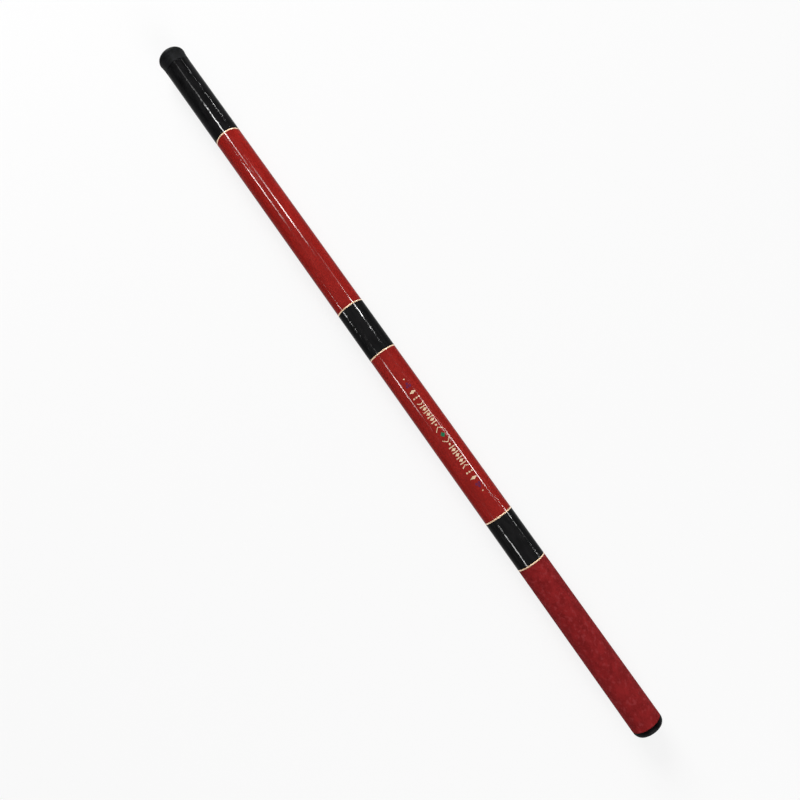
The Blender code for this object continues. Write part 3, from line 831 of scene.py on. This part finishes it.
def dress_plug():
    """The plug: a ribbed stem with a pocket, and a flared head with a domed end."""
    pitch = (PLUG_SHOULDER - PLUG_STEM_END) / (PLUG_RIBS + 1)
    stem = [(PLUG_POCKET[0], 0), (*PLUG_POCKET, SOFT_EDGE), (PLUG_STEM_END, PLUG_POCKET[1], SOFT_EDGE),
            (PLUG_STEM_END, PLUG_LOW, PLUG_STEM_EDGE)]
    for rib in range(1, PLUG_RIBS + 1):
        middle = PLUG_STEM_END + rib * pitch
        stem += [(middle - PLUG_RIB_HALF, PLUG_LOW, EDGE),
                 (middle - PLUG_RIB_HALF + PLUG_RIB_EDGE, PLUG_FULL, SOFT_EDGE),
                 (middle + PLUG_RIB_HALF - PLUG_RIB_EDGE, PLUG_FULL, SOFT_EDGE),
                 (middle + PLUG_RIB_HALF, PLUG_LOW, EDGE)]
    stem += [(PLUG_SHOULDER, PLUG_LOW, EDGE), (PLUG_SHOULDER, PLUG_SHOULDER_RADIUS, PLUG_SHOULDER_EDGE)]
    head = []
    for step in range(1, PLUG_HEAD_STEPS + 1):
        share = step / PLUG_HEAD_STEPS
        head.append((PLUG_SHOULDER + share * PLUG_HEAD_LENGTH,
                     PLUG_SHOULDER_RADIUS + PLUG_FLARE * share ** PLUG_FLARE_CURVE))
    rim_x, rim = head[-1]
    end = rim_x + PLUG_DOME
    dome = rounded_end(rim_x, rim, end, 0.0, PLUG_DOME_FULLNESS, PLUG_DOME_POINTS)[1:-1]
    profile = rounded(stem + [(*head[0], 0)], closed=False) + head[1:] + dome + [(end, 0)]
    dress("front_plug", turned(profile, closed=False), RUBBER)


def motif(mesh, surface, kind, along, around, half_length, half_height, ink):
    """One closed, slightly raised shape on the handle, placed and sized in millimetres."""
    rows = []
    count = max(MOTIF_LEAST_ROWS, math.ceil(half_height / MOTIF_ROW))
    for step in range(-count, count + 1):
        off = step / count
        if kind == "bar":
            left, right = -half_length, half_length
        elif kind == "lozenge":
            right = max(MOTIF_POINT, half_length * (1 - abs(off)))
            left = -right
        elif kind == "dot":
            right = max(MOTIF_POINT, half_length * math.sqrt(1 - off * off))
            left = -right
        else:
            left = (1 if kind == "arrow" else -1) * half_length * (1 - abs(off)) - ARROW_WIDTH / 2
            right = left + ARROW_WIDTH
        row = []
        for side in (left, right):
            x = ORNAMENT_CENTRE + (along + side) / MM_IN_METRE
            radius = surface.outside(x)
            angle = ORNAMENT_ANGLE + (around + off * half_height) / MM_IN_METRE / radius
            for level in (radius + ORNAMENT_LIFT, radius - ORNAMENT_SINK):
                row.append(mesh.verts.new((x, level * math.sin(angle), level * math.cos(angle))))
        rows.append(row)
    faces = []
    for first, second in zip(rows, rows[1:]):
        for a, b in ((0, 2), (2, 3), (3, 1), (1, 0)):
            faces.append(mesh.faces.new((first[a], first[b], second[b], second[a])))
    faces.append(mesh.faces.new([rows[0][k] for k in (0, 1, 3, 2)]))
    faces.append(mesh.faces.new([rows[-1][k] for k in (0, 2, 3, 1)]))
    for face in faces:
        face.material_index = list(INKS).index(ink)


def add_ornament():
    """A row of plain shapes, the same on both sides of its middle. Each has its kind, its place along the
    row and round the handle, half its length, half its height and its ink."""
    surface = Rings("handle_blank")
    mesh = bmesh.new()
    motif(mesh, surface, "lozenge", 0, 0, 2.4, 2.0, "green")
    for side in (-1, 1):
        arrow, tail = ("arrow", "tail") if side > 0 else ("tail", "arrow")
        shapes = [(arrow, 4.2, 0, 3.0, 3.6, "cream"), ("dot", 9.6, 0, 0.9, 0.9, "cream"),
                  (tail, 32.0, 0, 1.8, 3.0, "cream"), ("lozenge", 42.5, 0, 1.4, 3.2, "cream"),
                  ("dot", 48.2, 1.3, 1.2, 1.2, "violet"), ("dot", 48.2, -1.3, 1.2, 1.2, "violet"),
                  ("dot", 50.6, 0, 1.2, 1.2, "violet"), ("dot", 55.0, 0, 0.6, 0.6, "cream")]
        shapes += [("bar", 12.4 + BAR_PITCH * k, 0, 0.45, 2.8, "cream") for k in range(4)]
        shapes += [("lozenge", 15.0 + BAR_PITCH * k, 0, 1.4, 2.2, "cream") for k in range(3)]
        shapes += [("dot", 36.8, around, 0.8, 0.8, "cream") for around in (-2.4, 0, 2.4)]
        for kind, along, *rest in shapes:
            motif(mesh, surface, kind, side * along, *rest)
    make_piece("ornament", mesh, INKS.values(), BODY_OF["handle_blank"])


def add_camera():
    camera = bpy.data.objects.new("camera", bpy.data.cameras.new("camera"))
    camera.data.lens = CAMERA_LENS
    camera.data.clip_start = CAMERA_NEAR
    camera.location = CAMERA_PLACE
    camera.rotation_mode = "ZYX"
    camera.rotation_euler = (CAMERA_LEAN, CAMERA_PITCH, CAMERA_SPIN)
    bpy.context.scene.collection.objects.link(camera)
    bpy.context.scene.camera = camera


def seen_in(x, share):
    """What the camera sees mirrored at the lights' height by the lacquer at x, this share of its radius off
    the middle, and the place on the lacquer."""
    normal = Vector((0, share, math.sqrt(1 - share * share)))
    place = Vector((x, 0, 0)) + normal * POLE_RADIUS
    ray = (place - CAMERA_PLACE).normalized()
    ray -= 2 * ray.dot(normal) * normal
    return place + ray * (LIGHT_HEIGHT - place.z) / ray.z, place


def add_lamp(name, centre, along, length, width, radiance):
    """A rectangular lamp that faces the pole's middle, with its long side along a direction."""
    back = (centre - Vector((POLE_MIDDLE, 0, 0))).normalized()
    back = (back - back.dot(along) * along).normalized()
    across = back.cross(along)
    light = bpy.data.lights.new(name, "AREA")
    light.shape = "RECTANGLE"
    light.size, light.size_y = length, width
    light.energy = radiance * math.pi * length * width
    lamp = bpy.data.objects.new(name, light)
    lamp.matrix_world = Matrix.Translation(centre) @ Matrix((along, across, back)).transposed().to_4x4()
    lamp.visible_camera = False
    bpy.context.scene.collection.objects.link(lamp)
    return lamp


def add_lights():
    for name, (first, last, share, radiance) in STRIP_LIGHTS.items():
        (start, start_place), (end, end_place) = seen_in(first, share), seen_in(last, share)
        centre = (start + end) / 2
        width = LIGHT_ANGLE * (centre - (start_place + end_place) / 2).length
        lamp = add_lamp(name, centre, (end - start).normalized(), (end - start).length, width, radiance)
        lamp.visible_diffuse = False
    for name, (reach, off_side, radiance) in SOFT_BOXES.items():
        centre = Vector((POLE_MIDDLE + reach, off_side, SOFT_BOX_HEIGHT))
        across = Vector((0, 0, 1)).cross(centre).normalized()
        add_lamp(name, centre, across, SOFT_BOX_SIZE, SOFT_BOX_SIZE, radiance)


def add_world():
    """White to the camera. Everything else sees a white horizon under a dim ceiling."""
    world = bpy.data.worlds.new("studio")
    bpy.context.scene.world = world
    world.use_nodes = True
    tree = world.node_tree
    height = add_node(tree, "SeparateXYZ", {0: add_node(tree, "TexCoord").outputs["Generated"]}).outputs["Z"]
    rays = add_node(tree, "LightPath").outputs
    horizon = add_node(tree, "MapRange", {"Value": rays["Is Glossy Ray"], "To Min": HORIZON_LEVEL,
                                          "To Max": MIRRORED_HORIZON_LEVEL}).outputs[0]
    level = add_node(tree, "MapRange", {"Value": height, "From Min": HORIZON_TOP, "From Max": CEILING_EDGE,
                                        "To Min": horizon, "To Max": CEILING_LEVEL},
                     interpolation_type="SMOOTHSTEP").outputs[0]
    seen = add_node(tree, "Mix", {"Factor": rays["Is Camera Ray"], "A": level, "B": 1.0}).outputs[0]
    background = tree.nodes["Background"]
    background.inputs["Color"].default_value = (1, 1, 1, 1)
    tree.links.new(seen, background.inputs["Strength"])


def add_floor():
    """A pale floor that keeps the pole's shadow, mostly plain white to the camera and in gloss."""
    mesh = bmesh.new()
    bmesh.ops.create_grid(mesh, x_segments=1, y_segments=1, size=FLOOR_SIZE / 2)
    data = bpy.data.meshes.new("floor")
    mesh.to_mesh(data)
    mesh.free()
    floor = bpy.data.objects.new("floor", data)
    floor.location.z = CAD_BOX[0][2] - FLOOR_GAP
    bpy.context.scene.collection.objects.link(floor)
    material = bpy.data.materials.new("floor")
    material.use_nodes = True
    tree = material.node_tree
    tree.nodes.clear()
    rays = add_node(tree, "LightPath").outputs
    seen = rays["Is Camera Ray"]
    for ray in ("Is Glossy Ray", "Is Transmission Ray"):
        seen = add_node(tree, "Math", {0: seen, 1: rays[ray]}, operation="MAXIMUM").outputs[0]
    share = add_node(tree, "Math", {0: seen, 1: FLOOR_GLOW}, operation="MULTIPLY").outputs[0]
    paint = add_node(tree, "BsdfDiffuse", {"Color": (*FLOOR_COLOUR, 1)}).outputs[0]
    glow = add_node(tree, "Emission").outputs[0]
    mixed = add_node(tree, "MixShader", {0: share, 1: paint, 2: glow}).outputs[0]
    add_node(tree, "OutputMaterial", {"Surface": mixed})
    data.materials.append(material)


dress_handle()
dress_cap()
dress_collar()
dress_seal()
dress_pad()
dress_sections()
dress_ferrule()
dress_eye()
dress_plug()
add_ornament()
add_camera()
add_lights()
add_world()
add_floor()
bpy.context.scene.view_settings.view_transform = "Standard"
